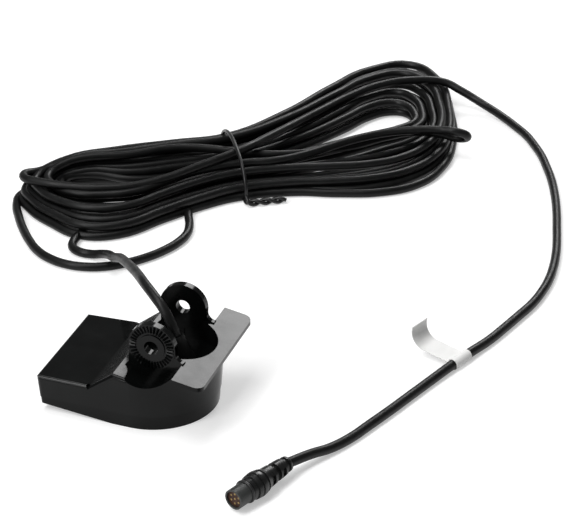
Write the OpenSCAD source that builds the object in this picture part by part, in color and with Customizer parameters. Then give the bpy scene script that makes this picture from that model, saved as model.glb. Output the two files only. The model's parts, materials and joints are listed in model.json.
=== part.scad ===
// Transom-mount sonar transducer with its cable, hank and round plug.
// Millimetres, +Z up. X runs from the tail to the nose, the origin is under the middle of the body.

/* [Body] */
// Length of the body from tail to nose edge
body_len = 88; // [84:1:96]
// Width of the tail block at its top edge
tail_w = 63.5; // [60:0.5:66]
// Height of the tail block
block_h = 20; // [19:0.5:22]
// Length of the flat top of the tail block
block_len = 29; // [26:0.5:31]
// Length of the ramp in front of the block
ramp_len = 12.4; // [11:0.2:14]
// Height of the crest at the top of the ramp
crest_h = 29.4; // [28:0.2:31]
// Radius of the round nose at the floor
nose_r = 31.75; // [31:0.25:33]
// Distance from the tail to the centre of the round nose
nose_x = 50; // [48:0.5:52]
// Outward draft of the walls in degrees
wall_draft = 4.5; // [3:0.5:6]
// Height of the joint between the base cover and the housing
seam_h = 7.5; // [6:0.5:8.5]
// Step in the wall at that joint
seam_step = 0.3; // [0.1:0.1:0.5]
// Lift of the underside at the tail
tail_rise = 4; // [0:0.2:5]
// Length of the lifted part of the underside
rise_len = 40; // [30:1:44]

// Radius of the upright corners at the tail, at the top of the block
tail_corner_r = 3; // [2.4:0.2:4]
// Radius of the rounded upper edges of the block
edge_r = 2; // [1:0.2:2.4]

/* [Deck] */
// Width of the fore deck
deck_w = 71.6; // [70:0.2:75]
// Height of the deck at the nose edge
deck_edge_h = 31.8; // [31:0.2:33]
// Fall of the deck towards the nose in degrees
deck_fall = 10.5; // [9:0.5:12]
// Thickness of the overhanging deck
deck_t = 2.2; // [1.6:0.2:3]
// Radius of the deck's corners
deck_corner_r = 4.5; // [2:0.5:6]
// Radius of the round well between the ears
well_r = 19.6; // [19:0.2:20.4]
// Distance from the tail to the centre of the well
well_x = 62.2; // [61:0.2:63.6]
// Height of the floor of the well
well_h = 24; // [22.5:0.5:25]

/* [Ears] */
// Distance from the tail to the pivot axis
pivot_x = 57.7; // [57:0.1:59]
// Height of the pivot axis
pivot_h = 41.5; // [41:0.5:44]
// Diameter of the pivot hole
pivot_d = 7.2; // [6.4:0.2:8]
// Radius of the round head of an ear
ear_r = 12.1; // [11.8:0.1:13]
// Clear width between the two ear webs
ear_gap = 38.4; // [37.6:0.2:39.2]
// Thickness of an ear web
ear_t = 2.6; // [2.2:0.2:3.6]
// Radius of the fillet at the root of an ear
root_r = 4; // [2:0.5:5]
// Height of the round pad on the inner side of an ear
inner_pad_h = 0.6; // [0.4:0.1:1]
// Height of the round pad on the outer side of an ear
outer_pad_h = 0.4; // [0.3:0.1:0.8]
// Radius of the swing clearance outside an ear
swing_r = 16.8; // [16:0.2:17.4]
// Number of teeth in a ring
tooth_count = 36; // [24:2:40]
// Inner radius of a ring of teeth
tooth_in_r = 8; // [7.6:0.2:8.6]
// Radial length of a tooth
tooth_len = 3.2; // [2.4:0.2:3.4]
// Height of a tooth
tooth_h = 0.9; // [0.6:0.1:1.2]
// Radius of the plain hub inside the teeth
hub_r = 6.8; // [6:0.2:7.2]
// Height of the hub above the pad
hub_h = 0.6; // [0.4:0.1:1]

/* [Element] */
// Distance from the tail to the axis of the element
element_x = 50; // [49:0.5:51]
// Thickness of the acoustic window
window_t = 3; // [2.5:0.1:3.4]
// Diameter of the ceramic disc
piezo_d = 32; // [30:0.5:33]
// Thickness of the ceramic disc
piezo_t = 8; // [7:0.2:8.6]
// Thickness of the cork sleeve
sleeve_t = 3.5; // [3:0.1:3.7]
// Thickness of the cork pad on the disc
pad_t = 2; // [1.6:0.1:2.2]
// Wall of the screening can
can_t = 0.4; // [0.3:0.1:0.5]
// Thickness of resin round the can
fill_t = 3.5; // [3:0.1:3.8]
// Depth of resin over the can
fill_top_t = 4.4; // [4.2:0.1:4.8]
// Diameter of a conductor
wire_d = 1; // [0.8:0.1:1.1]
// Spacing of the two signal conductors
wire_gap = 3; // [2.6:0.1:3.4]
// Radius of the hole that the conductors go through
wire_hole_r = 4; // [3.6:0.1:5]
// Height of the locating lip on the base cover
lip_h = 1.5; // [1:0.1:2]
// Width of the locating lip on the base cover
lip_w = 2; // [1.5:0.1:2.5]
// Clearance round the locating lip
lip_gap = 0.15; // [0.1:0.05:0.3]

/* [Cable] */
// Diameter of the cable
cable_d = 5; // [4.6:0.1:5.2]
// Distance from the tail to the mouth of the cable boot
boot_x = 61.6; // [60.6:0.2:62.4]
// Height of the mouth of the cable boot above the floor of the well
boot_h = 12; // [10:0.5:14]
// Lean of the cable boot in degrees
boot_lean = 23; // [18:1:26]
// Radius of the cable boot at its foot
boot_foot_r = 4.7; // [4.4:0.1:5.2]
// Radius of the cable boot at its top
boot_top_r = 3.9; // [3.6:0.1:4.3]
// Depth of the hank of cable at its edges
hank_h = 10; // [8:0.5:10]
// Depth of the hank along its crown
crown_h = 19.5; // [16:0.5:19.5]
// Diameter of the tie's wire
tie_d = 2.2; // [1.8:0.1:2.3]
// Height of the tie's wire over the waist of the hank
tie_h = 25; // [25:0.5:28]
// Clearance between the tie and the sides of the hank
tie_gap = 1; // [0.9:0.1:1.5]
// Length of the tie's twisted tail
tie_tail = 21; // [15:1:26]
// Turns in the tie's twisted tail
tie_twist = 1.5; // [1:0.5:2]
// Length of the flat part of the flag label
flag_len = 18.5; // [15:0.5:22]
// Width of the flag label along the cable
flag_w = 12.5; // [10:0.5:13]
// Thickness of the label
flag_t = 0.4; // [0.3:0.1:0.6]
// Radius of the label's curled end
curl_r = 8; // [6:0.5:10]
// Turn of the label's curled end in degrees
curl_turn = 108; // [60:2:120]
// Lift of the flag from the cable outwards in degrees
flag_lift = 4; // [2:0.5:6]
// Clearance between the cable and what is fitted round it
cable_fit = 0.1; // [0.05:0.05:0.2]

/* [Plug] */
// Radius of the plug's barrel
barrel_r = 5; // [4.8:0.1:5.3]
// Length of the barrel in front of the seal
barrel_len = 7.5; // [6.5:0.5:9]
// Wall of the barrel
barrel_wall = 0.9; // [0.7:0.1:1.1]
// Setback of the insert behind the mouth of the barrel
insert_setback = 1; // [0.5:0.1:2]
// Diameter of a contact
contact_d = 1; // [0.8:0.1:1.1]
// Radius of the circle of contacts
contact_circle_r = 2.5; // [2.3:0.1:2.7]
// Number of contacts on the circle
contact_count = 6; // [4:1:7]
// Diameter of the seal ring's section
seal_d = 1.6; // [1.2:0.1:1.8]
// Length of the moulded plug boot
plug_boot_len = 28.8; // [26:0.2:31]
// Largest radius of the plug boot
plug_boot_r = 6.4; // [6:0.1:6.5]
// Radius of the plug boot where the cable leaves it
plug_end_r = 3.7; // [3.5:0.1:4]

/* [Hidden] */
$fn = 64;

// Larger than any body dimension, for cutting solids
big = 300;
// Small overreach of a cutting solid past the face it opens
over = 1;
// Overreach behind the tail wall, past its draft
tail_reach = 5;
// Setback of a round corner behind the walls it joins, so that they meet at an edge
setback = 0.02;

// Body: heights and levels
tail_x = -body_len / 2;
draft_tan = tan(wall_draft);
tail_foot_half = tail_w / 2 - block_h * draft_tan;
flare = atan((nose_r - tail_foot_half) / nose_x);
crest_x = block_len + ramp_len;
ramp_slope = atan((crest_h - block_h) / ramp_len);
tail_tangent_x = tail_corner_r * (1 - sin(flare));
tail_corner_y = tail_w / 2 - tail_corner_r * (1 - sin(flare)) / cos(flare);
deck_fall_tan = tan(deck_fall);
function deck_level(x) = deck_edge_h + (body_len - x) * deck_fall_tan;
function landing_level(x) = crest_h - (x - crest_x) * deck_fall_tan;
deck_start_x = pivot_x;
housing_top = deck_level(deck_start_x);

// Ears: faces measured from the middle plane
web_in = ear_gap / 2;
web_out = web_in + ear_t;
pad_in = web_in - inner_pad_h;
pad_out = web_out + outer_pad_h;
hub_out = pad_out + hub_h;
tooth_pitch = 2 * PI * (tooth_in_r + tooth_len / 2) / tooth_count;
tooth_root = 0.3;

// Element: stack from the window upwards, radii from the axis outwards
element_at = tail_x + element_x;
piezo_r = piezo_d / 2;
sleeve_r = piezo_r + sleeve_t;
can_r = sleeve_r + can_t;
cavity_r = can_r + fill_t;
piezo_top = window_t + piezo_t;
pad_top = piezo_top + pad_t;
can_top = pad_top + can_t;
cavity_top = can_top + fill_top_t;
tab_size = [2.4, 2, 0.3];
tab_top = piezo_top + tab_size[2];
wire_h = can_top + 1.2 * wire_d;
wire_channel = wire_gap + 3 * wire_d;

// Cable boot and tail: the axis leans back from the mouth of the boot
boot_mouth = [tail_x + boot_x, 0, well_h + boot_h];
boot_dir = [-sin(boot_lean), 0, cos(boot_lean)];
boot_run = (boot_mouth[2] - well_h) / cos(boot_lean);
tail_end_h = wire_h + 0.8 * wire_d + cable_d / 2 * sin(boot_lean);
tail_run = (boot_mouth[2] - tail_end_h) / cos(boot_lean);
tail_end = boot_mouth - tail_run * boot_dir;
bore_r = cable_d / 2 + cable_fit;

// Plug: its axis lies level, from the boot's end to the mouth of the barrel
plug_end = [89.7, -44.6, 6.5];
plug_turn = 249.3;
plug_dir = [cos(plug_turn), sin(plug_turn), 0];
seal_groove_r = barrel_r - seal_d / 2;
seal_w = seal_d + 2 * cable_fit;
// Outline of the boot from the cable end: share of its length, and how far its radius has grown
plug_outline = [[0, 0], [0.042, 0.02], [0.042, -0.15], [0.07, -0.15], [0.07, 0.18], [0.215, 0.27],
    [0.215, 0.06], [0.264, 0.06], [0.264, 0.35], [0.4, 0.44], [0.54, 0.52], [0.66, 0.82], [0.69, 0.66],
    [0.715, 0.66], [0.73, 0.96], [0.765, 1], [0.81, 0.98], [0.818, 0.82], [0.834, 0.82], [0.842, 0.95],
    [0.9, 0.86], [0.906, 0.64], [0.937, 0.64], [0.942, 0.7], [1, 0.66]];

// Cable: hand-chosen points on its centre line
lead_in_route = [boot_mouth, boot_mouth + [-3, 0.3, 7], boot_mouth + [-7.1, 2, 12.5],
    boot_mouth + [-13.1, 6, 16], boot_mouth + [-21.6, 14, 17.5], [-12.5, 26, 50.5], [-22.5, 40, 46],
    [-33, 55, 40], [-41.5, 70, 32], [-50, 84, 23.5], [-58, 97, 15.5], [-66, 109.5, 9], [-73, 116, 4.8],
    [-80, 117.5, 2.7], [-87, 118, 2.5], [-92.8, 121.3, 2.5], [-95.3, 127, 2.5], [-95.5, 133.1, 2.5]];
loose_loop_route = [[-46.2, 177, 2.5], [-41.8, 167, 2.5], [-39.3, 156.5, 2.5], [-40.2, 146, 2.5],
    [-44, 135, 2.5], [-50, 124.5, 2.5], [-58, 115, 2.5], [-67.5, 107.5, 2.5], [-78, 103.5, 2.5],
    [-89, 103, 2.5], [-100, 106, 2.5], [-110, 112, 2.5], [-119, 121, 2.5], [-127, 131, 2.5],
    [-134.5, 142.5, 2.5], [-141.6, 154.8, 2.5]];
label_ends = [[143, 84], [137, 68]];
label_run = label_ends[0] - label_ends[1];
label_at = (label_ends[0] + label_ends[1]) / 2;
label_turn = atan2(label_run[1], label_run[0]);
label_h = cable_d / 2 + cable_fit + flag_t;
lead_out_route = [[47.6, 379.2, 12], [58, 376, 10], [73, 371, 6], [88, 362.5, 3.4], [101, 351, 2.5],
    [110, 341, 2.5], [118, 329, 2.5], [125, 317, 2.5], [131, 304, 2.5], [137, 290, 2.5],
    [142, 276, 2.5], [146.5, 261.5, 2.5], [150.5, 246.5, 2.5], [154, 231.5, 2.5], [157.5, 216.5, 2.5],
    [160.5, 201.5, 2.5], [162.5, 187, 2.5], [163.5, 172.5, 2.5], [163, 158, 2.5], [161, 143, 2.5],
    [157.5, 129.5, 2.5], [153.5, 115, 2.5], [149, 100, 2.5], [each label_ends[0], label_h],
    [each label_ends[1], label_h], [131, 52, 2.5], [125.5, 36, 2.5], [120, 20, 2.5], [114.5, 5, 2.5],
    [109, -9.5, 2.5], [103, -21.5, 3.2], [97, -31.5, 5], plug_end - cable_fit / 2 * plug_dir];
hank_outline = [[-148.5, 170.5], [-136.8, 154.2], [-117, 142], [-94, 133.5], [-73.3, 141], [-56, 166.6],
    [-42, 186.4], [-25.5, 205], [3, 221.7], [26, 228.7], [49.4, 240], [65.2, 256.8], [73.5, 285],
    [70.4, 317.5], [59.3, 351], [40, 387.5], [18, 402.5], [-4, 387.4], [-19.4, 347], [-35.3, 300],
    [-57, 260.6], [-83.4, 243], [-112.6, 225], [-138, 198.4]];
crown_outline = [[-128, 183], [-112, 165], [-90, 162], [-64, 188], [-29, 219], [14, 245], [46, 261],
    [58, 290], [52, 325], [36, 362], [18, 376], [4, 352], [-8, 316], [-26, 278], [-49, 247], [-78, 228],
    [-106, 210]];
tie_far = [-57, 260.6];
tie_near = [-22.7, 206.5];
cable_sides = 10;
curve_steps = 4;

// Unit vector along v
function unit(v) = v / norm(v);
// Tangent of a route at point i, with the two ends given
function tangent(p, i, first, last) =
    i == 0 ? unit(first) : i == len(p) - 1 ? unit(last) : unit(p[i + 1] - p[i - 1]);
// One ring of points square to the direction t round the centre c, turned by the direction up
function ring(c, t, r, up) =
    let (side = unit(cross(t, up)), top = cross(side, t))
    [for (k = [0:cable_sides - 1])
        let (a = 360 * k / cable_sides) c + r * (cos(a) * side + sin(a) * top)];
// Point of a closed smooth curve through the points p
function loop_point(p, i, u) =
    let (n = len(p), a = p[(i + n - 1) % n], b = p[i], c = p[(i + 1) % n], d = p[(i + 2) % n])
    0.5 * (2 * b + (c - a) * u + (2 * a - 5 * b + 4 * c - d) * u * u + (3 * b - a - 3 * c + d) * u * u * u);
function loop_curve(p) =
    [for (i = [0:len(p) - 1], k = [0:curve_steps - 1]) loop_point(p, i, k / curve_steps)];

// Tie: an oval over the waist that lies flat on the floor, with both ends twisted beside the near edge
waist_run = tie_far - tie_near;
waist_w = norm(waist_run);
waist_dir = unit(waist_run);
along_dir = [waist_dir[1], -waist_dir[0], 0];
tie_mid_h = 0.75 * hank_h;
tie_half = waist_w / 2 + tie_gap + tie_d / 2;
tie_bend = tie_mid_h - tie_d / 2;
twist_r = tie_d / 2 + cable_fit / 2;
tail_axis = [-2.1 * tie_d, twist_r + tie_d / 2 + cable_fit / 2, 0.7 * tie_d];
tail_steps = 20;
// Steps from the tail to the oval and from the floor to the tail, in wire diameters
near_rise = [[-2.3, 1.6, 0.25], [-1.65, 2.1, 0.05], [-1, 2.7, 0]];
near_floor = [[0.45, 0.5, 0], [-0.45, 0.52, 0], [-1.2, 0.68, 0.2]];
// Point at a distance inwards from the near edge of the waist, at a height and a distance along the hank
function tie_place(inwards, height, along) =
    [each tie_near + inwards * waist_dir, height] + along * along_dir;
function tail_strand(phase) =
    [for (k = [0:tail_steps])
        let (share = k / tail_steps, turn = phase + 360 * tie_twist * share)
        tie_place(tail_axis[0] + twist_r * cos(turn), tail_axis[1] + twist_r * sin(turn),
            tail_axis[2] + share * tie_tail)];
function backwards(p) = [for (i = [len(p) - 1:-1:0]) p[i]];
tie_route = concat(
    backwards(tail_strand(180)),
    [for (p = near_rise) tie_place(p[0] * tie_d, p[1] * tie_d, p[2] * tie_d)],
    [for (a = [6:12:174])
        tie_place(waist_w / 2 - tie_half * cos(a), tie_mid_h + (tie_h - tie_mid_h) * sin(a), 0)],
    [for (a = [0:22.5:90])
        tie_place(waist_w / 2 + tie_half - tie_bend * (1 - cos(a)), tie_mid_h - tie_bend * sin(a), 0)],
    [for (share = [0.7, 0.4, 0.15]) tie_place(share * waist_w, tie_d / 2, 0)],
    [for (p = near_floor) tie_place(p[0] * tie_d, p[1] * tie_d, p[2] * tie_d)],
    tail_strand(0));

// Round tube swept along a route
module round_tube(route, r, first, last, up = [0, 0, 1]) {
    count = len(route);
    points = [for (i = [0:count - 1]) each ring(route[i], tangent(route, i, first, last), r, up)];
    sides = [for (i = [0:count - 2], k = [0:cable_sides - 1])
        let (next = (k + 1) % cable_sides, low = i * cable_sides, high = low + cable_sides)
        [low + k, high + k, high + next, low + next]];
    start_cap = [for (k = [0:cable_sides - 1]) k];
    end_cap = [for (k = [cable_sides - 1:-1:0]) (count - 1) * cable_sides + k];
    polyhedron(points, concat(sides, [start_cap, end_cap]));
}

// Moves a solid from tail coordinates to the part's frame
module from_tail() {
    translate([tail_x, 0, 0])
        children();
}

// Half-space on the inner side of the near wall
module inside_near_wall(inset) {
    translate([nose_x, inset - nose_r, 0])
        rotate([0, 0, -flare])
            rotate([wall_draft, 0, 0])
                translate([-big / 2, 0, -big / 2])
                    cube(big);
}

// Half-space in front of the tail wall
module inside_tail_wall(inset) {
    translate([block_h * draft_tan + inset, 0, 0])
        rotate([0, -wall_draft, 0])
            translate([0, -big / 2, -big / 2])
                cube(big);
}

// Upright drafted cone between two heights, of radius r at the top of the block
module drafted_cone(x, y, r, low, high) {
    translate([x, y, low])
        cylinder(h = high - low, r1 = r - (block_h - low) * draft_tan,
            r2 = r - (block_h - high) * draft_tan);
}

// D-shaped drafted body between two heights, in tail coordinates
module hull_body(low, high, inset) {
    drafted_cone(nose_x, 0, nose_r + block_h * draft_tan - inset, low, high);
    difference() {
        intersection() {
            translate([-tail_reach, -big / 2, low])
                cube([nose_x + tail_reach, big, high - low]);
            inside_near_wall(inset);
            mirror([0, 1, 0])
                inside_near_wall(inset);
            inside_tail_wall(inset);
        }
        both_sides()
            translate([-tail_reach, tail_corner_y, low - over])
                cube([tail_tangent_x + tail_reach, big, high - low + 2 * over]);
    }
    both_sides()
        drafted_cone(tail_corner_r, tail_corner_y, tail_corner_r - inset - setback, low, high);
}

// Corner of a rounded edge to take away: u runs outwards and v upwards from the sharp edge
module edge_section(draft) {
    u = -edge_r * (1 + sin(draft)) / cos(draft);
    wall = [u + edge_r * cos(draft), -edge_r - edge_r * sin(draft)];
    difference() {
        polygon([[u, -edge_r], [u, over], [over, over], [over, wall[1]], wall]);
        translate([u, -edge_r])
            circle(r = edge_r);
    }
}

// Rounds the far upper edge of the body from a point on it along a slope, for a length
module round_side_edge(x, z, slope, length) {
    half = tail_w / 2 + x * tan(flare) + (z - block_h) * draft_tan;
    yaw = atan(sin(slope) * draft_tan + cos(slope) * tan(flare));
    translate([x, half, z])
        rotate([0, -slope, yaw])
            rotate([90, 0, 90])
                translate([0, 0, -edge_r])
                    linear_extrude(height = length + edge_r)
                        edge_section(wall_draft * cos(slope));
}

// Rounds the upper edge of the tail wall
module round_tail_edge() {
    translate([0, big / 2, block_h])
        rotate([90, 0, 0])
            mirror([1, 0, 0])
                linear_extrude(height = big)
                    edge_section(wall_draft);
}

// Solid under a side profile, across the whole width
module across(points) {
    rotate([90, 0, 0])
        linear_extrude(height = big, center = true)
            polygon(points);
}

// Cylinder along Y round the pivot axis between two distances from the middle plane
module pivot_disc(r, from, to) {
    translate([pivot_x, from, pivot_h])
        rotate([-90, 0, 0])
            cylinder(h = to - from, r = r);
}

// Both sides of the middle plane
module both_sides() {
    children();
    mirror([0, 1, 0])
        children();
}

// Outline of one ear: round head, straight neck and filleted root
module ear_outline() {
    left = pivot_x - ear_r;
    right = pivot_x + ear_r;
    left_foot = landing_level(left);
    right_foot = deck_level(right);
    translate([pivot_x, pivot_h])
        circle(r = ear_r);
    translate([left, well_h - over])
        square([2 * ear_r, pivot_h - well_h + over]);
    difference() {
        translate([left - root_r, left_foot - over])
            square([root_r + over, root_r + over]);
        translate([left - root_r, left_foot + root_r])
            circle(r = root_r);
    }
    difference() {
        translate([right - over, right_foot - over])
            square([root_r + over, root_r + over]);
        translate([right + root_r, right_foot + root_r])
            circle(r = root_r);
    }
}

module ear_web() {
    translate([0, web_out, 0])
        rotate([90, 0, 0])
            linear_extrude(height = ear_t)
                ear_outline();
}

// Ring of radial teeth standing on the outer pad
module tooth_ring() {
    translate([pivot_x, pad_out, pivot_h])
        rotate([-90, 0, 0])
            for (i = [0:tooth_count - 1])
                rotate([0, 0, 360 * i / tooth_count])
                    translate([tooth_in_r, 0, 0])
                        rotate([90, 0, 90])
                            linear_extrude(height = tooth_len)
                                polygon([[-tooth_pitch / 2, -tooth_root], [tooth_pitch / 2, -tooth_root],
                                    [0, tooth_h]]);
}

// Overhanging deck with rounded front corners
module deck_plate() {
    corner_x = body_len - deck_corner_r;
    corner_y = deck_w / 2 - deck_corner_r;
    intersection() {
        across([[deck_start_x, deck_level(deck_start_x)], [body_len, deck_level(body_len)],
            [body_len, deck_level(body_len) - deck_t], [deck_start_x, deck_level(deck_start_x) - deck_t]]);
        linear_extrude(height = big) {
            translate([deck_start_x, -deck_w / 2])
                square([corner_x - deck_start_x, deck_w]);
            translate([deck_start_x, -corner_y])
                square([body_len - deck_start_x, 2 * corner_y]);
            for (side = [-1, 1])
                translate([corner_x, side * corner_y])
                    circle(r = deck_corner_r);
        }
    }
}

// Swing clearance for the bracket arm outside one ear
module swing_cut() {
    pivot_disc(swing_r, web_out, deck_w);
}

module well_cut() {
    intersection() {
        translate([well_x, 0, well_h])
            cylinder(h = big, r = well_r);
        translate([0, -web_in, 0])
            cube([big, ear_gap, big]);
    }
}

// Round cavity round the element axis, in tail coordinates
module element_cylinder(r, low, high) {
    translate([element_x, 0, low])
        cylinder(h = high - low, r = r);
}

// Cylinder along the cable's axis below the mouth of the boot, in the part's frame
module boot_axis(r, r_top, length) {
    translate(boot_mouth - length * boot_dir)
        rotate([0, -boot_lean, 0])
            cylinder(h = length, r1 = r, r2 = r_top);
}

// Straight conductor between two points
module conductor(from, to) {
    run = to - from;
    translate(from)
        rotate([0, acos(run[2] / norm(run)), atan2(run[1], run[0])])
            cylinder(h = norm(run), d = wire_d, $fn = 32);
}

// Rounded elbow where two conductors meet, a little fuller than they are
module elbow(at) {
    translate(at)
        sphere(d = 1.2 * wire_d, $fn = 32);
}

// Places a solid of revolution about Z on the plug's axis, starting at the cable end
module on_plug_axis() {
    translate(plug_end)
        rotate([0, 90, plug_turn])
            children();
}

module upper_housing() {
    color("#141517")
        difference() {
            union() {
                from_tail()
                    difference() {
                        union() {
                            intersection() {
                                difference() {
                                    hull_body(seam_h, housing_top, 0);
                                    round_tail_edge();
                                    both_sides() {
                                        round_side_edge(0, block_h, 0, block_len);
                                        round_side_edge(block_len, block_h, ramp_slope,
                                            ramp_len / cos(ramp_slope));
                                        round_side_edge(crest_x, crest_h, -deck_fall, edge_r + ear_r / 2);
                                    }
                                }
                                across([[-tail_reach, 0], [-tail_reach, block_h], [block_len, block_h],
                                    [crest_x, crest_h], [deck_start_x, landing_level(deck_start_x)],
                                    [deck_start_x, housing_top], [body_len, deck_edge_h], [body_len, 0]]);
                            }
                            deck_plate();
                            both_sides()
                                ear_web();
                        }
                        both_sides()
                            swing_cut();
                        well_cut();
                    }
                from_tail()
                    both_sides() {
                        pivot_disc(ear_r, pad_in, web_in);
                        pivot_disc(ear_r, web_out, pad_out);
                        pivot_disc(hub_r, pad_out, hub_out);
                        tooth_ring();
                    }
            }
            from_tail() {
                pivot_disc(pivot_d / 2, -deck_w, deck_w);
                element_cylinder(cavity_r, 0, cavity_top);
                element_cylinder(cavity_r + lip_w + lip_gap, 0, seam_h + lip_h + lip_gap);
            }
            boot_axis(bore_r, bore_r, tail_run + cable_d);
        }
}

module base_cover() {
    color("#17181a")
        from_tail()
            difference() {
                union() {
                    intersection() {
                        hull_body(0, seam_h, seam_step);
                        across([[-tail_reach, tail_rise], [0, tail_rise], [rise_len, 0], [body_len, 0],
                            [body_len, seam_h], [-tail_reach, seam_h]]);
                    }
                    element_cylinder(cavity_r + lip_w, seam_h, seam_h + lip_h);
                }
                element_cylinder(cavity_r, window_t, big);
            }
}

module piezo_disc() {
    color("#d8d2c4")
        from_tail()
            element_cylinder(piezo_r, window_t, piezo_top);
}

module isolation_sleeve() {
    color("#a9794a")
        from_tail()
            difference() {
                element_cylinder(sleeve_r, window_t, pad_top);
                element_cylinder(piezo_r, window_t - over, pad_top + over);
            }
}

module backing_pad() {
    color("#b08654")
        from_tail()
            difference() {
                element_cylinder(piezo_r, piezo_top, pad_top);
                element_cylinder(wire_hole_r, piezo_top - over, pad_top + over);
            }
}

module shield_can() {
    color("#b9a46a")
        from_tail()
            difference() {
                element_cylinder(can_r, window_t, can_top);
                element_cylinder(sleeve_r, window_t - over, pad_top);
                element_cylinder(wire_hole_r, pad_top - over, can_top + over);
            }
}

module terminal_tabs() {
    color("#c9c4b8")
        for (side = [-1, 1])
            translate([element_at - tab_size[0] / 2, side * wire_gap / 2 - tab_size[1] / 2, piezo_top])
                cube(tab_size);
}

// Conductor from the cable's end, level over the can and down to a point, at a side offset in the cable
module wire_path(offset, end) {
    start = tail_end + [0, offset, 0];
    turn = start - (tail_end_h - wire_h) / cos(boot_lean) * boot_dir;
    drop = [end[0], end[1], wire_h];
    conductor(start, turn);
    elbow(turn);
    conductor(turn, drop);
    elbow(drop);
    conductor(drop, end);
}

module signal_wire_live() {
    color("#a8252b")
        wire_path(0.45 * wire_gap, [element_at, wire_gap / 2, tab_top]);
}

module signal_wire_return() {
    color("#23262b")
        wire_path(-0.45 * wire_gap, [element_at, -wire_gap / 2, tab_top]);
}

module drain_wire() {
    color("#b87a45")
        wire_path(0, [element_at + can_r - 3 * wire_d, 0, can_top]);
}

module potting_compound() {
    color("#3a3630")
        difference() {
            from_tail()
                difference() {
                    element_cylinder(cavity_r, window_t, cavity_top);
                    element_cylinder(can_r, window_t - over, can_top);
                }
            boot_axis(bore_r, bore_r, tail_run + cable_fit + (tail_end_h - wire_h) / cos(boot_lean));
            translate([element_at - wire_channel / 2, -wire_channel / 2, can_top - over])
                cube([tail_end[0] - element_at + wire_channel, wire_channel,
                    wire_h + wire_d - can_top + over]);
        }
}

module cable_boot() {
    color("#1b1c1e")
        difference() {
            boot_axis(boot_foot_r, boot_top_r, boot_run + boot_foot_r);
            translate(over * boot_dir)
                boot_axis(bore_r, bore_r, tail_run + over);
            translate([-big / 2, -big / 2, well_h - big])
                cube(big);
        }
}

module cable_tail() {
    color("#202124")
        boot_axis(cable_d / 2, cable_d / 2, tail_run);
}

module cable_lead_in() {
    color("#202124")
        round_tube(lead_in_route, cable_d / 2, boot_dir, [0, 1, 0]);
}

module cable_loose_loop() {
    color("#202124")
        round_tube(loose_loop_route, cable_d / 2, [0.4, -0.9, 0], [-0.5, 0.85, 0]);
}

module cable_lead_out() {
    color("#202124")
        round_tube(lead_out_route, cable_d / 2, [5, -1, 0], plug_dir);
}

// Hank as one solid: its outline, higher along the crown, with a groove that the tie lies in underneath
module cable_hank() {
    groove_w = tie_d + 2 * cable_fit;
    groove_h = tie_d + cable_fit;
    mouth_h = hank_h / 2;
    color("#1e1f22")
        difference() {
            union() {
                linear_extrude(height = hank_h)
                    polygon(loop_curve(hank_outline));
                linear_extrude(height = crown_h)
                    polygon(loop_curve(crown_outline));
            }
            translate(tie_near)
                rotate([0, 0, atan2(waist_run[1], waist_run[0])])
                    rotate([90, 0, 0])
                        linear_extrude(height = groove_w, center = true)
                            polygon([[-mouth_h, -over], [-mouth_h, mouth_h], [0, mouth_h],
                                [mouth_h, groove_h], [waist_w - tie_bend, groove_h], [waist_w, mouth_h],
                                [waist_w + mouth_h, mouth_h], [waist_w + mouth_h, -over]]);
        }
}

module hank_tie() {
    count = len(tie_route);
    first = tie_route[1] - tie_route[0];
    last = tie_route[count - 1] - tie_route[count - 2];
    color("#131416")
        round_tube(tie_route, tie_d / 2, first, last, along_dir);
}

// Section of the label square to the cable: sleeve, flat flag and curled end
module label_section() {
    sleeve_in = cable_d / 2 + cable_fit;
    reach = 2 * curl_r;
    difference() {
        circle(r = sleeve_in + flag_t);
        circle(r = sleeve_in);
    }
    rotate(flag_lift) {
        translate([sleeve_in + flag_t / 2, -flag_t / 2])
            square([flag_len - sleeve_in - flag_t / 2, flag_t]);
        translate([flag_len, curl_r])
            intersection() {
                difference() {
                    circle(r = curl_r + flag_t / 2);
                    circle(r = curl_r - flag_t / 2);
                }
                polygon([[0, 0], [0, -reach], [reach, -reach], reach * [sin(curl_turn), -cos(curl_turn)]]);
            }
    }
}

module cable_label() {
    color("#f2f2ee")
        translate([label_at[0], label_at[1], label_h])
            rotate([0, 0, label_turn])
                rotate([90, 0, 90])
                    linear_extrude(height = flag_w, center = true)
                        label_section();
}

module connector_shell() {
    color("#2b2c2f")
        on_plug_axis()
            difference() {
                translate([0, 0, plug_boot_len])
                    cylinder(h = seal_w + barrel_len, r = barrel_r);
                translate([0, 0, plug_boot_len + seal_w])
                    cylinder(h = barrel_len + over, r = barrel_r - barrel_wall);
                translate([0, 0, plug_boot_len])
                    rotate_extrude()
                        translate([seal_groove_r, 0])
                            square([seal_d, seal_w]);
            }
}

module connector_insert() {
    depth = barrel_len - insert_setback;
    color("#4a2f22")
        on_plug_axis()
            translate([0, 0, plug_boot_len + seal_w])
                difference() {
                    cylinder(h = depth, r = barrel_r - barrel_wall);
                    contact_places()
                        translate([0, 0, -over])
                            cylinder(h = depth + 2 * over, d = contact_d, $fn = 32);
                }
}

// Places of the contacts: one in the middle and a ring round it
module contact_places() {
    children();
    for (i = [0:contact_count - 1])
        rotate([0, 0, 360 * i / contact_count])
            translate([contact_circle_r, 0, 0])
                children();
}

module connector_contacts() {
    color("#c79a3c")
        on_plug_axis()
            translate([0, 0, plug_boot_len + seal_w])
                contact_places()
                    cylinder(h = barrel_len - insert_setback, d = contact_d, $fn = 32);
}

module connector_seal() {
    color("#0f1012")
        on_plug_axis()
            translate([0, 0, plug_boot_len + seal_w / 2])
                rotate_extrude()
                    translate([seal_groove_r + seal_d / 2, 0])
                        circle(d = seal_d, $fn = 32);
}

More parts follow.
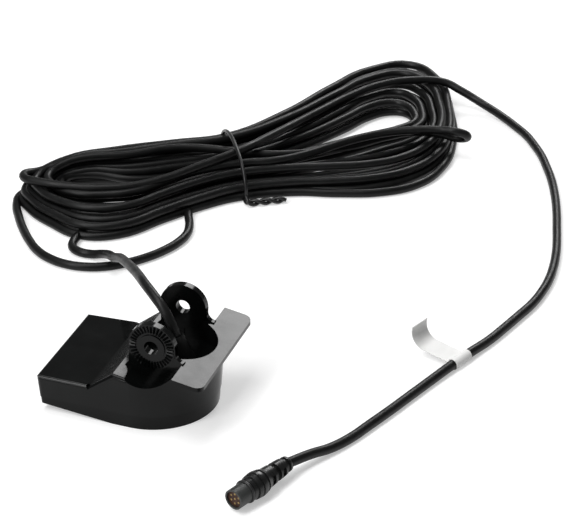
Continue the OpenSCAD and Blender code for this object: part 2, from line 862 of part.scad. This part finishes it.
// Moulded boot: a bulged grip and a stepped strain relief with grooves
module connector_boot() {
    growth = plug_boot_r - plug_end_r;
    outline = [for (p = plug_outline) [plug_end_r + p[1] * growth, p[0] * plug_boot_len]];
    color("#191a1c")
        on_plug_axis()
            rotate_extrude()
                polygon(concat([[0, 0]], outline, [[0, plug_boot_len]]));
}

upper_housing();
base_cover();
piezo_disc();
isolation_sleeve();
backing_pad();
shield_can();
terminal_tabs();
signal_wire_live();
signal_wire_return();
drain_wire();
potting_compound();
cable_boot();
cable_tail();
cable_lead_in();
cable_hank();
cable_loose_loop();
cable_lead_out();
hank_tie();
cable_label();
connector_shell();
connector_insert();
connector_contacts();
connector_seal();
connector_boot();
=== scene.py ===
"""Looks of a transom-mount sonar transducer: camera, materials, cable, tie, plug boot and studio."""

import json
import math

import bpy
from mathutils import Euler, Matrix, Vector


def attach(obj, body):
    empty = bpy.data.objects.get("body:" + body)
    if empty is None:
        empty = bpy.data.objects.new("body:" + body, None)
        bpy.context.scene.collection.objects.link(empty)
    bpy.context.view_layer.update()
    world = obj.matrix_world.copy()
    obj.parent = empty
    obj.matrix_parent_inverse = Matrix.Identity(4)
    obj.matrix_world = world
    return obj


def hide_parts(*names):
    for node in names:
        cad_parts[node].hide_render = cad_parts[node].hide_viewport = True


MM = 0.001

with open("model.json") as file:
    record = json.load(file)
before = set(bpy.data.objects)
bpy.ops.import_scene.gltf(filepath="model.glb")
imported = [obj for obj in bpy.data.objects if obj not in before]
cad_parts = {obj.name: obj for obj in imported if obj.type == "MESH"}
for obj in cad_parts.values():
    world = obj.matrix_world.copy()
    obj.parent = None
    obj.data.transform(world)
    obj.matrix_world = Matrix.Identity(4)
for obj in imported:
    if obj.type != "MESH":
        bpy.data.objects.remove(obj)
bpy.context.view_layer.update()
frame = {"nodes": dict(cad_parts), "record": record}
nodes = frame["nodes"]
scene = bpy.context.scene
scene.view_settings.view_transform = "Standard"


def mm(points):
    """Points in millimetres as vectors in metres."""
    return [Vector(p) * MM for p in points]


def link(name, data):
    """A new object in the scene that holds data."""
    obj = bpy.data.objects.new(name, data)
    scene.collection.objects.link(obj)
    return obj


# Camera: fitted to the photograph's 585 x 527 frame, with its place in millimetres
SENSOR_MM = 36.0
LENS_MM = 135.4
CAMERA_AT = (368.0, -845.8, 584.2)
CAMERA_TURN_DEG = (60.93, 0.0, 18.99)
CLIP_END_M = 20.0

camera = link("camera", bpy.data.cameras.new("camera"))
camera.data.sensor_fit = "HORIZONTAL"
camera.data.sensor_width = SENSOR_MM
camera.data.lens = LENS_MM
camera.data.clip_end = CLIP_END_M
camera.location = Vector(CAMERA_AT) * MM
camera.rotation_euler = Euler([math.radians(a) for a in CAMERA_TURN_DEG])
scene.camera = camera

# Materials: noise makes the colour and the roughness of each surface a little uneven
NOISE_DETAIL = 3.0
# Part of the noise's range over which a ramp goes from its first colour to its second
RAMP_RANGE = (0.3, 0.7)
# Scale of the noise in the roughness over that in the colour
ROUGH_FINENESS = 1.7
# Depth of the bumps in millimetres
BUMP_DEPTH = 0.2


def new_material(name):
    """A node material, with its nodes, its links and its Principled shader."""
    mat = bpy.data.materials.new(name)
    mat.use_nodes = True
    return mat, mat.node_tree.nodes, mat.node_tree.links, mat.node_tree.nodes["Principled BSDF"]


def noise(tree_nodes, links, scale):
    """Factor of a noise texture in object space, with its scale per metre."""
    coords = tree_nodes.new("ShaderNodeTexCoord")
    tex = tree_nodes.new("ShaderNodeTexNoise")
    tex.inputs["Scale"].default_value = scale
    tex.inputs["Detail"].default_value = NOISE_DETAIL
    links.new(coords.outputs["Object"], tex.inputs["Vector"])
    return tex.outputs["Fac"]


def ramp(tree_nodes, links, factor, first, last):
    """Colour that goes from first to last with a noise factor."""
    node = tree_nodes.new("ShaderNodeValToRGB")
    for element, position, colour in zip(node.color_ramp.elements, RAMP_RANGE, (first, last)):
        element.position = position
        element.color = (*colour, 1.0)
    links.new(factor, node.inputs["Fac"])
    return node.outputs["Color"]


def grey(value):
    """A colour with the same value in its three channels."""
    return (value, value, value)


def moulded(name, dark, light, rough, scale, bump=None, specular=0.5, metallic=0.0):
    """An uneven surface; rough is (lowest, highest) and bump is (strength, scale of its noise)."""
    mat, tree_nodes, links, shader = new_material(name)
    colour = ramp(tree_nodes, links, noise(tree_nodes, links, scale), dark, light)
    links.new(colour, shader.inputs["Base Color"])
    rough_noise = noise(tree_nodes, links, scale * ROUGH_FINENESS)
    roughness = ramp(tree_nodes, links, rough_noise, grey(rough[0]), grey(rough[1]))
    links.new(roughness, shader.inputs["Roughness"])
    shader.inputs["Specular IOR Level"].default_value = specular
    shader.inputs["Metallic"].default_value = metallic
    if bump:
        strength, bump_scale = bump
        node = tree_nodes.new("ShaderNodeBump")
        node.inputs["Strength"].default_value = strength
        node.inputs["Distance"].default_value = BUMP_DEPTH * MM
        links.new(noise(tree_nodes, links, bump_scale), node.inputs["Height"])
        links.new(node.outputs["Normal"], shader.inputs["Normal"])
    return mat


LOOKS = {
    "housing_black": dict(
        dark=(0.0012, 0.0014, 0.0014), light=(0.003, 0.0034, 0.0033), rough=(0.1, 0.2), scale=60.0,
        bump=(0.15, 260.0), specular=0.16),
    "base_black": dict(
        dark=(0.0012, 0.0014, 0.0014), light=(0.003, 0.0034, 0.0033), rough=(0.14, 0.24), scale=60.0,
        specular=0.14),
    "cable_black": dict(
        dark=(0.003, 0.0031, 0.0031), light=(0.006, 0.0062, 0.0062), rough=(0.34, 0.46), scale=120.0,
        bump=(0.1, 900.0), specular=0.2),
    "tie_black": dict(
        dark=(0.004, 0.004, 0.0042), light=(0.008, 0.008, 0.0084), rough=(0.3, 0.45), scale=200.0,
        specular=0.35),
    "label_white": dict(
        dark=(0.72, 0.72, 0.71), light=(0.78, 0.78, 0.77), rough=(0.55, 0.7), scale=150.0),
    "plug_grey": dict(
        dark=(0.025, 0.0265, 0.026), light=(0.04, 0.042, 0.041), rough=(0.35, 0.5), scale=150.0,
        specular=0.3),
    "plug_black": dict(
        dark=(0.004, 0.0042, 0.0042), light=(0.009, 0.0094, 0.0094), rough=(0.24, 0.4), scale=150.0,
        bump=(0.15, 900.0), specular=0.3),
    "insert_brown": dict(
        dark=(0.03, 0.013, 0.008), light=(0.055, 0.024, 0.015), rough=(0.45, 0.6), scale=400.0,
        specular=0.2),
    "contact_gold": dict(
        dark=(0.2, 0.14, 0.06), light=(0.34, 0.24, 0.1), rough=(0.26, 0.4), scale=500.0, metallic=1.0),
    "seal_black": dict(
        dark=(0.003, 0.003, 0.0035), light=(0.006, 0.006, 0.0065), rough=(0.4, 0.55), scale=300.0),
    "piezo_ceramic": dict(
        dark=(0.6, 0.57, 0.5), light=(0.72, 0.69, 0.62), rough=(0.3, 0.45), scale=120.0),
    "cork": dict(
        dark=(0.28, 0.15, 0.06), light=(0.5, 0.3, 0.14), rough=(0.8, 0.95), scale=900.0, bump=(0.4, 1200.0)),
    "brass_plain": dict(
        dark=(0.5, 0.38, 0.15), light=(0.62, 0.48, 0.22), rough=(0.3, 0.45), scale=200.0, metallic=1.0),
    "wire_jacket": dict(
        dark=(0.16, 0.015, 0.018), light=(0.22, 0.025, 0.03), rough=(0.4, 0.5), scale=300.0),
    "resin_dark": dict(
        dark=(0.03, 0.027, 0.022), light=(0.055, 0.05, 0.042), rough=(0.5, 0.65), scale=100.0),
}
MATERIALS = {name: moulded(name, **look) for name, look in LOOKS.items()}

# CAD nodes take the material of their record slot, and the hard mouldings get softly broken edges,
# with widths in millimetres
EDGE_WIDTH = {"upper_housing": 0.35, "base_cover": 0.35, "connector_shell": 0.2}
EDGE_SEGMENTS = 3
EDGE_ANGLE_DEG = 28
WELD_DISTANCE = 0.03

for entry in frame["record"]["subparts"]:
    obj = nodes[entry["node"]]
    obj.data.materials.clear()
    obj.data.materials.append(MATERIALS[entry["material_slot"]])
    if entry["node"] in EDGE_WIDTH:
        weld = obj.modifiers.new("weld", "WELD")
        weld.merge_threshold = WELD_DISTANCE * MM
        bevel = obj.modifiers.new("edges", "BEVEL")
        bevel.width = EDGE_WIDTH[entry["node"]] * MM
        bevel.segments = EDGE_SEGMENTS
        bevel.limit_method = "ANGLE"
        bevel.angle_limit = math.radians(EDGE_ANGLE_DEG)
        obj.modifiers.new("shading", "WEIGHTED_NORMAL").keep_sharp = True

# Cable: one curve from the boot in the well, round the hank and out to the plug, in millimetres
CABLE_D = 5.0


def on_floor(points):
    """Points (x, y) at the height of a cable that lies on the floor."""
    return [(x, y, CABLE_D / 2) for x, y in points]


LEAD_IN = [
    (17.6, 0, 36), (14.6, 0.3, 43), (10.5, 2, 48.5), (4.5, 6, 52), (-4, 14, 53.5), (-12.5, 26, 50.5),
    (-22.5, 40, 46), (-33, 55, 40), (-41.5, 70, 32), (-50, 84, 23.5), (-58, 97, 15.5), (-66, 109.5, 9),
    (-73, 116, 4.8), (-80, 117.5, 2.7), *on_floor([(-87, 118), (-92.8, 121.3), (-95.3, 127)]),
]
# From the hank's near edge, under the other turns, to the run towards the waist
JOIN_IN = on_floor([(-95.5, 138), (-93, 150), (-86, 163), (-77, 178), (-66, 195)])
# Outer and inner turn of the hank, from the left end along the near side and back along the far side
OUTER = [
    (-146, 170), (-135, 156), (-116, 144), (-94, 136), (-75, 143), (-58, 168), (-44, 188), (-27, 207),
    (2, 224), (25, 231), (48, 242), (63, 258), (71, 285), (69, 317), (59, 352), (40, 391),
    (17, 407), (-4, 391), (-18, 348), (-33, 299), (-55, 259), (-82, 241), (-111, 223), (-136, 197),
]
INNER = [
    (-126, 190), (-121, 178.5), (-108, 177), (-92, 189), (-79, 198), (-69, 208), (-58, 220), (-43, 234),
    (-25, 251), (-9, 273), (6, 292), (19, 308), (33, 319), (41, 328), (39, 337), (31, 344),
    (22, 343), (12, 333), (3, 312), (-12, 283), (-42, 243), (-66, 223), (-89, 204), (-113, 199),
]
# Turns of the hank in the order they are wound: share of the way from the outer turn to the inner one,
# and heights at the near waist, on the far side and in the lobes
TURNS = [
    (0.86, 2.5, 2.5, 2.5), (0.04, 2.5, 2.5, 2.5), (0.00, 2.5, 2.5, 2.5), (0.16, 2.5, 2.5, 2.5),
    (0.32, 2.5, 2.5, 2.5), (0.48, 2.5, 2.5, 2.5), (0.66, 3.0, 3.0, 2.5), (0.98, 3.5, 3.5, 3.0),
    (0.92, 8.0, 8.0, 7.0), (0.75, 8.5, 9.5, 7.0), (0.52, 8.0, 9.5, 7.0), (0.20, 8.0, 10.0, 7.0),
    (0.08, 7.5, 14.0, 7.0), (0.30, 13.5, 15.0, 11.4), (0.60, 16.6, 16.6, 12.5),
]
TURN_POINTS = len(OUTER)
# Points of a turn at the near waist and on the far side, and how many points their heights reach
NEAR_WAIST = 7
FAR_SIDE = 21
SIDE_REACH = 4.5
FAR_STEEPNESS = 2
# The second layer rides up on the first round the far end's middle point
SECOND_Z = 7.0
CROWN = 16
CROWN_REACH = 4.0
CROWN_LIFT = 2.4
# Share of a turn after which it goes over to the next one's place
CHANGE_FROM = 0.86
# A turn wanders sideways by this share of the way in, in waves that differ from turn to turn
WANDER = 0.05
WANDER_WAVES = 2
WANDER_PHASE = 0.37
# Point of the first turn that the way in joins at
JOIN_INDEX = 6
# One turn leaves the hank at its left end, in a loose loop that comes back at the near waist
LOOSE_TURN = 1
LOOSE_EXIT_INDEX = 9
LOOSE_LOOP = on_floor([
    (-147, 170), (-144.4, 158.5), (-136.8, 145), (-127.5, 131.5), (-119, 121), (-110, 112), (-100, 106),
    (-89, 103), (-78, 103.5), (-67.5, 107.5), (-58, 115), (-50, 124.5), (-44, 135), (-40.2, 146),
    (-39.3, 156.5), (-41.8, 167), (-46.2, 177), (-50, 188), (-48, 203), (-33, 217), (-13, 229),
])
# The last turn's right lobe stands out of the hank as a narrow loop on top, seen almost edge on
NARROW_TURN = len(TURNS) - 1
NARROW_FROM_INDEX = 7
NARROW_EXIT_INDEX = 21
NARROW_LOBE = [
    (-28, 225, 16.5), (-16, 231, 16.5), (-5, 241, 16.2), (5, 254, 16), (15.1, 267.6, 16.2),
    (25.7, 278.6, 16.8), (38.4, 287.7, 17.8), (52, 293.2, 19), (67.2, 297.5, 19.4), (78.3, 297.6, 19.6),
    (83, 301.5, 15.8), (77.8, 304.6, 12.2), (65.8, 303.2, 14), (50.3, 299.3, 14.6), (35.9, 291.4, 12.8),
    (20.2, 276.2, 11.4), (6, 265, 11.5), (-8, 254, 12), (-22, 246, 13),
]
# Last run: from the left end over the others at the tie and along the far side of the right lobe
TOP_RUN = [
    (-141, 183, 12.5), (-146, 174.5, 14), (-142.5, 167.5, 15), (-133, 165, 15.5), (-111, 166, 15.5),
    (-94, 170.5, 15.5), (-79, 178, 15.8), (-65, 190, 17), (-50, 207, 19.5), (-37, 224, 21.2),
    (-31, 236, 21.2), (-27, 254, 19), (-20, 281, 16.5), (-11, 308, 15.5), (0, 336, 15.2), (13, 355, 16),
    (29.5, 367, 16.4),
]
# Down to the floor, through the label's sleeve and up into the plug
LEAD_OUT = [
    (48.5, 375, 14.4), (59, 374, 11), (73, 371, 6), (88, 362.5, 3.4),
    *on_floor([
        (101, 351), (110, 341), (118, 329), (125, 317), (131, 304), (137, 290), (142, 276),
        (146.5, 261.5), (150.5, 246.5), (154, 231.5), (157.5, 216.5), (160.5, 201.5), (162.5, 187),
        (163.5, 172.5), (163, 158), (161, 143), (157.5, 129.5), (153.5, 115), (149, 100),
    ]),
    (143, 84, 3), (137, 68, 3), *on_floor([(131, 52), (125.5, 36), (120, 20), (114.5, 5), (109, -9.5)]),
    (103, -21.5, 3.2), (97, -31.5, 5), (89.7, -44.6, 6.5),
]


def smooth(t):
    """Goes from 0 to 1 with t, level at both ends."""
    t = min(max(t, 0.0), 1.0)
    return t * t * (3 - 2 * t)


def turn_point(turn, index):
    """Point of one turn, which goes over to the next turn's place near its end."""
    share = index / TURN_POINTS
    here = TURNS[turn]
    following = TURNS[min(turn + 1, len(TURNS) - 1)]
    mix = smooth((share - CHANGE_FROM) / (1 - CHANGE_FROM))
    inward, near_z, far_z, lobe_z = (a + (b - a) * mix for a, b in zip(here, following))
    wave = math.sin(2 * math.pi * (WANDER_WAVES * share + WANDER_PHASE * turn))
    inward += WANDER * wave * math.sin(math.pi * share)
    near = smooth(1 - abs(index - NEAR_WAIST) / SIDE_REACH)
    far = smooth(FAR_STEEPNESS * (1 - abs(index - FAR_SIDE) / SIDE_REACH))
    crown = smooth(1 - abs(index - CROWN) / CROWN_REACH)
    lift = CROWN_LIFT * crown if lobe_z == SECOND_Z else 0.0
    outer = Vector(OUTER[index])
    spot = outer + (Vector(INNER[index]) - outer) * inward
    return (spot.x, spot.y, lobe_z + (near_z - lobe_z) * near + (far_z - lobe_z) * far + lift)


def hank_points():
    """The wound part of the route, in millimetres."""
    points = list(JOIN_IN)
    for turn in range(len(TURNS)):
        first = JOIN_INDEX + 1 if turn == 0 else 0
        if turn == LOOSE_TURN:
            points += LOOSE_LOOP
            first = LOOSE_EXIT_INDEX
        if turn == NARROW_TURN:
            points += [turn_point(turn, i) for i in range(NARROW_FROM_INDEX)]
            points += NARROW_LOBE
            first = NARROW_EXIT_INDEX
        points += [turn_point(turn, i) for i in range(first, TURN_POINTS)]
    return points


# Fineness of the tubes, round their section and from point to point
TUBE_ROUNDNESS = 4
TUBE_STEPS = 6


def curve_through(name, points, radius, material):
    """A round tube on one smooth spline through points in millimetres."""
    data = bpy.data.curves.new(name, "CURVE")
    data.dimensions = "3D"
    data.bevel_depth = radius * MM
    data.bevel_resolution = TUBE_ROUNDNESS
    data.resolution_u = TUBE_STEPS
    data.use_fill_caps = True
    spline = data.splines.new("BEZIER")
    spline.bezier_points.add(len(points) - 1)
    for bezier, place in zip(spline.bezier_points, mm(points)):
        bezier.co = place
        bezier.handle_left_type = "AUTO"
        bezier.handle_right_type = "AUTO"
    data.materials.append(material)
    return link(name, data)


cable_route = LEAD_IN + hank_points() + TOP_RUN + LEAD_OUT
cable = curve_through("cable", cable_route, CABLE_D / 2, MATERIALS["cable_black"])
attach(cable, "root")
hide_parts("cable_lead_in", "cable_hank", "cable_loose_loop", "cable_lead_out")

# Tie: one coated wire in an oval over the waist, its two ends twisted beside the near edge, with the
# sizes that the part's source gives it, in millimetres
TIE_D = 2.2
TIE_H = 25.0
TIE_MID_H = 7.5
TIE_GAP = 1.0
TIE_TAIL = 21.0
TIE_TWIST = 1.5
TIE_FAR = Vector((-57, 260.6, 0))
TIE_NEAR = Vector((-22.7, 206.5, 0))
WAIST_W = (TIE_FAR - TIE_NEAR).length
WAIST_DIR = (TIE_FAR - TIE_NEAR).normalized()
ALONG_DIR = Vector((WAIST_DIR.y, -WAIST_DIR.x, 0))
TIE_HALF = WAIST_W / 2 + TIE_GAP + TIE_D / 2
TIE_BEND = TIE_MID_H - TIE_D / 2
# Angles over the hank and down to the floor on its far side, and places under it
OVER_DEG = range(6, 175, 12)
BEND_DEG = (0, 22.5, 45, 67.5, 90)
UNDER_SHARES = (0.7, 0.4, 0.15)
# Twisted ends: clearance, half the distance of their centre lines, and where their axis starts
TWIST_FIT = 0.05
TWIST_R = TIE_D / 2 + TWIST_FIT
TAIL_AXIS = (-2.1 * TIE_D, 2 * TWIST_R, 0.7 * TIE_D)
TAIL_STEPS = 20
# Steps from the tail to the oval and from the floor to the tail, in wire diameters
NEAR_RISE = [(-2.3, 1.6, 0.25), (-1.65, 2.1, 0.05), (-1, 2.7, 0)]
NEAR_FLOOR = [(0.45, 0.5, 0), (-0.45, 0.52, 0), (-1.2, 0.68, 0.2)]


def tie_place(inwards, height, along=0.0):
    """Point inwards from the near edge of the waist, at a height and a distance along the hank."""
    return TIE_NEAR + inwards * WAIST_DIR + along * ALONG_DIR + Vector((0, 0, height))


def tail_strand(phase):
    """One of the two twisted ends, from the knot outwards; phase in degrees."""
    inwards, height, along = TAIL_AXIS
    points = []
    for step in range(TAIL_STEPS + 1):
        share = step / TAIL_STEPS
        turn = math.radians(phase + 360 * TIE_TWIST * share)
        points.append(tie_place(inwards + TWIST_R * math.cos(turn), height + TWIST_R * math.sin(turn),
                                along + share * TIE_TAIL))
    return points


def tie_steps(steps):
    """Points from steps in wire diameters."""
    return [tie_place(inwards * TIE_D, height * TIE_D, along * TIE_D) for inwards, height, along in steps]


def tie_points():
    """The whole wire, from one end of its tail to the other."""
    middle = WAIST_W / 2
    points = tail_strand(180)[::-1] + tie_steps(NEAR_RISE)
    for turn in map(math.radians, OVER_DEG):
        height = TIE_MID_H + (TIE_H - TIE_MID_H) * math.sin(turn)
        points.append(tie_place(middle - TIE_HALF * math.cos(turn), height))
    for turn in map(math.radians, BEND_DEG):
        inwards = middle + TIE_HALF - TIE_BEND * (1 - math.cos(turn))
        points.append(tie_place(inwards, TIE_MID_H - TIE_BEND * math.sin(turn)))
    points += [tie_place(share * WAIST_W, TIE_D / 2) for share in UNDER_SHARES]
    return points + tie_steps(NEAR_FLOOR) + tail_strand(0)


tie = curve_through("hank_tie_wire", tie_points(), TIE_D / 2, MATERIALS["tie_black"])
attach(tie, "root")
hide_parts("hank_tie")

# Plug boot: a slotted strain relief with a round profile, along the plug's axis from the cable to the barrel
PLUG_END = Vector(LEAD_OUT[-1])
PLUG_TURN = math.radians(249.3)
PLUG_LENGTH = 28.8
PLUG_SEGMENTS = 72
# Share of the length, and radius in millimetres
PLUG_PROFILE = [
    (0, 3.6), (0.01, 3.8), (0.05, 3.9), (0.058, 3.2), (0.125, 3.3), (0.133, 4.25), (0.188, 4.4), (0.19, 4.4),
    (0.275, 4.55), (0.277, 4.55), (0.316, 4.6), (0.324, 3.5), (0.405, 3.65), (0.413, 4.85), (0.468, 4.95),
    (0.47, 4.96), (0.555, 5.1), (0.557, 5.1), (0.585, 5.25), (0.645, 5.85), (0.652, 5.4), (0.684, 5.4),
    (0.692, 6.15), (0.73, 6.33), (0.765, 6.4), (0.79, 6.38), (0.797, 5.9), (0.822, 5.9), (0.83, 6.3),
    (0.842, 6.27), (0.9, 6.02), (0.906, 5.43), (0.937, 5.43), (0.942, 5.59), (1, 5.48),
]
# Slots in both sides: first and last share, between which the wall is set back
PLUG_SLOTS = [(0.19, 0.275), (0.47, 0.555)]
SLOT_HALF_DEG = 30.0
SLOT_DEPTH = 1.1
# Edges sharper than this are shaded as edges
SHARP_DEG = 35


def plug_boot_mesh():
    """The boot as one closed mesh."""
    along = Vector((math.cos(PLUG_TURN), math.sin(PLUG_TURN), 0))
    side = Vector((along.y, -along.x, 0))
    verts = []
    for share, radius in PLUG_PROFILE:
        slotted = any(first <= share <= last for first, last in PLUG_SLOTS)
        for step in range(PLUG_SEGMENTS):
            turn = 2 * math.pi * step / PLUG_SEGMENTS
            from_side = math.degrees(math.acos(abs(math.cos(turn))))
            reach = radius - SLOT_DEPTH if slotted and from_side <= SLOT_HALF_DEG else radius
            out = side * math.cos(turn) + Vector((0, 0, math.sin(turn)))
            verts.append((PLUG_END + along * share * PLUG_LENGTH + out * reach) * MM)
    last_ring = len(verts) - PLUG_SEGMENTS
    faces = [tuple(range(PLUG_SEGMENTS)), tuple(reversed(range(last_ring, len(verts))))]
    for start in range(0, last_ring, PLUG_SEGMENTS):
        for step in range(PLUG_SEGMENTS):
            here = start + step
            following = start + (step + 1) % PLUG_SEGMENTS
            faces.append((here, here + PLUG_SEGMENTS, following + PLUG_SEGMENTS, following))
    mesh = bpy.data.meshes.new("plug_boot")
    mesh.from_pydata(verts, [], faces)
    mesh.materials.append(MATERIALS["plug_black"])
    mesh.polygons.foreach_set("use_smooth", [True] * len(mesh.polygons))
    mesh.set_sharp_from_angle(angle=math.radians(SHARP_DEG))
    return mesh


plug_boot = link("plug_boot", plug_boot_mesh())
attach(plug_boot, "root")
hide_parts("connector_boot")

# Studio: a pale floor and world, a soft panel behind, and strips from overhead to low in front, in metres
WHITE = (1.0, 1.0, 1.0, 1.0)
FLOOR_HALF = 6.0
FLOOR_COLOUR = (0.72, 0.72, 0.72, 1.0)
FLOOR_ROUGHNESS = 0.9
FLOOR_LIFT = 0.4
WORLD_STRENGTH = 0.19
FLOOR_CORNERS = [(x * FLOOR_HALF, y * FLOOR_HALF, 0) for x, y in ((-1, -1), (1, -1), (1, 1), (-1, 1))]


def larger(tree_nodes, links, first, second):
    """The larger of two factors."""
    node = tree_nodes.new("ShaderNodeMath")
    node.operation = "MAXIMUM"
    links.new(first, node.inputs[0])
    links.new(second, node.inputs[1])
    return node.outputs["Value"]


def floor_material():
    """Matt and pale; it looks whiter where it is seen or mirrored, without more light on the object."""
    mat, tree_nodes, links, shader = new_material("floor_white")
    shader.inputs["Base Color"].default_value = FLOOR_COLOUR
    shader.inputs["Roughness"].default_value = FLOOR_ROUGHNESS
    shader.inputs["Specular IOR Level"].default_value = 0.0
    shader.inputs["Emission Color"].default_value = WHITE
    ray = tree_nodes.new("ShaderNodeLightPath").outputs
    seen = larger(tree_nodes, links, ray["Is Camera Ray"], ray["Is Transmission Ray"])
    seen_or_mirrored = larger(tree_nodes, links, seen, ray["Is Glossy Ray"])
    lift = tree_nodes.new("ShaderNodeMath")
    lift.operation = "MULTIPLY"
    lift.inputs[1].default_value = FLOOR_LIFT
    links.new(seen_or_mirrored, lift.inputs[0])
    links.new(lift.outputs["Value"], shader.inputs["Emission Strength"])
    return mat


floor_mesh = bpy.data.meshes.new("floor")
floor_mesh.from_pydata(FLOOR_CORNERS, [], [(0, 1, 2, 3)])
floor_mesh.materials.append(floor_material())
floor = link("floor", floor_mesh)

world = bpy.data.worlds.new("studio")
world.use_nodes = True
background = world.node_tree.nodes["Background"]
background.inputs["Color"].default_value = WHITE
background.inputs["Strength"].default_value = WORLD_STRENGTH
scene.world = world

# Lamps: place, target, size and power in watts; the three strips lie in an arc, which draws the bright
# line along the rounded edges
BODY = (-0.03, -0.03, 0.02)
LAMPS = {
    "back_panel": ((-0.05, 1.9, 1.25), (0.02, 0.0, 0.03), (0.9, 0.7), 20.0),
    "top_strip": ((-0.36, -0.04, 1.85), BODY, (1.15, 0.95), 17.0),
    "front_strip": ((-0.68, -1.04, 1.50), BODY, (0.42, 0.95), 16.0),
    "low_strip": ((-0.68, -1.65, 0.80), BODY, (0.42, 0.95), 8.0),
}
for name, (place, target, size, power) in LAMPS.items():
    lamp = link(name, bpy.data.lights.new(name, "AREA"))
    lamp.data.shape = "RECTANGLE"
    lamp.data.size, lamp.data.size_y = size
    lamp.data.energy = power
    lamp.location = place
    lamp.rotation_euler = (Vector(target) - Vector(place)).to_track_quat("-Z", "Y").to_euler()
